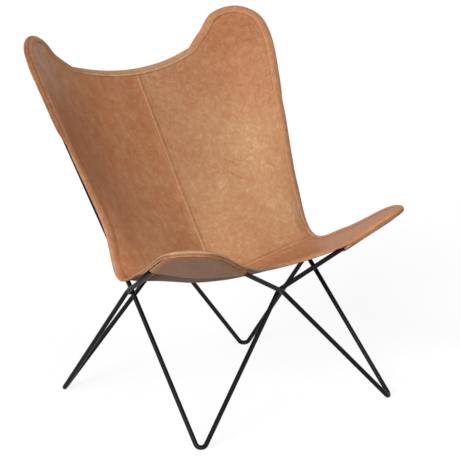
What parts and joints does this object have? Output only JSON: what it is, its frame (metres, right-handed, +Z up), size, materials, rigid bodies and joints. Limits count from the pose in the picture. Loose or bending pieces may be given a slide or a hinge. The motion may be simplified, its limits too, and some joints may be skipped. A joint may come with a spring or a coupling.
{
  "type": "butterfly sling chair",
  "caption": "Low lounge chair: a bent and welded steel rod frame with raised ears that hold a sewn leather sling by its pockets.",
  "frame": {"origin": "on the floor under the middle of the chair's box", "axes": "+Z up, the sitter faces -Y and the sitter's left is +X"},
  "size_m": [0.7846, 0.7303, 0.9341],
  "materials": {
    "frame_paint": "satin",
    "sling_leather": "satin",
    "binding_leather": "satin"
  },
  "bodies": {
    "root": {"leg_front_right": "frame_paint", "leg_front_left": "frame_paint", "leg_rear_right": "frame_paint", "leg_rear_left": "frame_paint", "ear_hoop_front_right": "frame_paint", "ear_hoop_front_left": "frame_paint", "ear_hoop_back_right": "frame_paint", "ear_hoop_back_left": "frame_paint", "weld_front": "frame_paint", "weld_rear": "frame_paint", "weld_right": "frame_paint", "weld_left": "frame_paint", "back_panel_left": "sling_leather", "back_panel_right": "sling_leather", "seat_panel": "sling_leather", "pocket_front_right": "sling_leather", "pocket_front_left": "sling_leather", "pocket_back_right": "sling_leather", "pocket_back_left": "sling_leather", "binding_top": "binding_leather", "binding_left": "binding_leather", "binding_front": "binding_leather", "binding_right": "binding_leather"}
  },
  "joints": []
}
